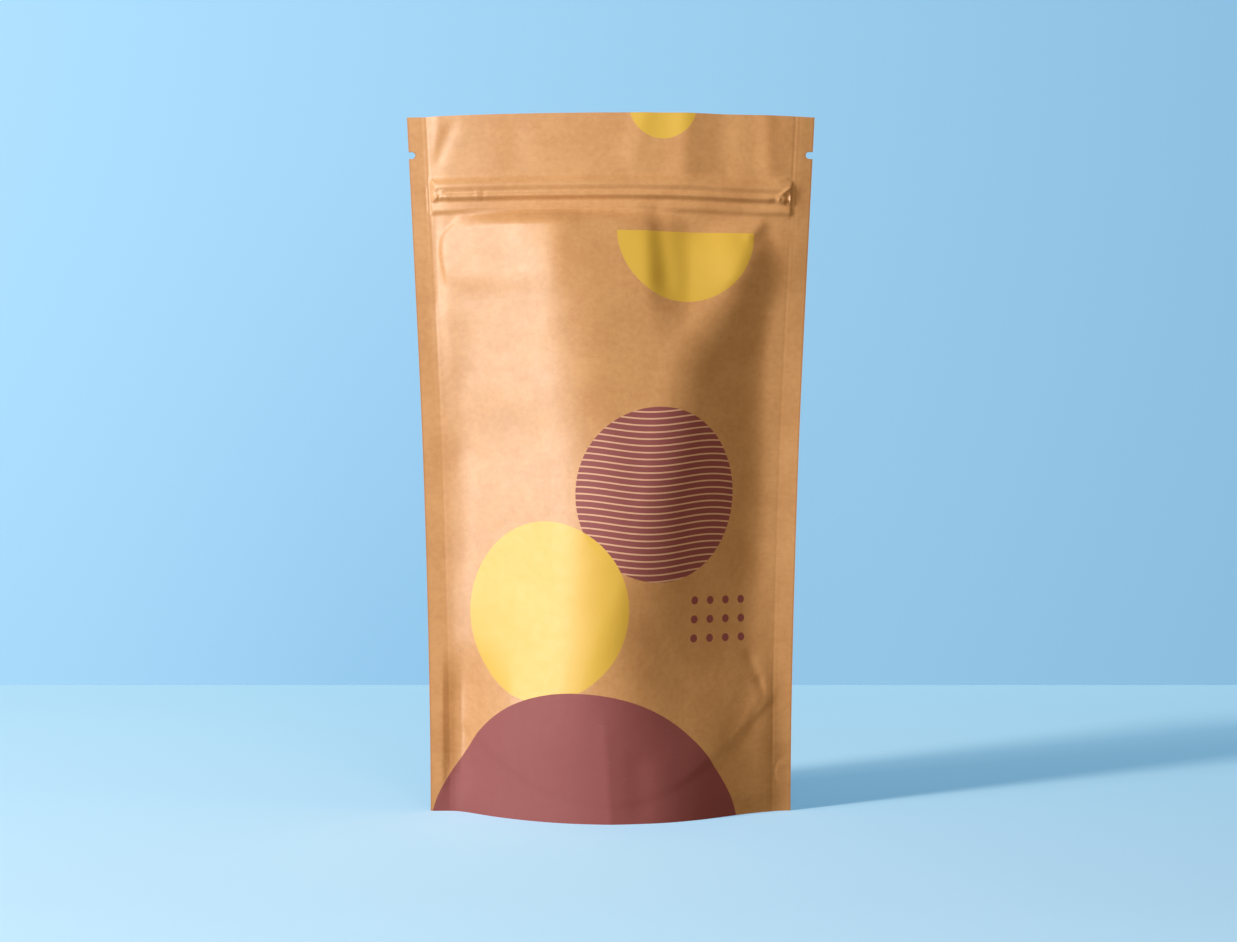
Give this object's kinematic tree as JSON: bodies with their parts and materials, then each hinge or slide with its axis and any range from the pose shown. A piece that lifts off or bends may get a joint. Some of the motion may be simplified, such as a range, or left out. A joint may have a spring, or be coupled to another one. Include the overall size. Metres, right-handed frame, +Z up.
{
  "type": "zip-lock pouch",
  "caption": "Filled stand-up kraft pouch with a press-to-close zip, flat side seals, round tear notches and an opened bottom gusset, printed with plain rounded shapes.",
  "frame": {"origin": "on the floor, under the middle of the standing pouch", "axes": "+Z up the pouch towards the zip, -Y out of the printed front, +X to the right as the front is seen"},
  "size_m": [0.1576, 0.065, 0.268],
  "materials": {
    "kraft": "matt kraft paper with a thin clear film, printed in wine red and yellow"
  },
  "bodies": {
    "root": {"pouch": "kraft"}
  },
  "joints": []
}
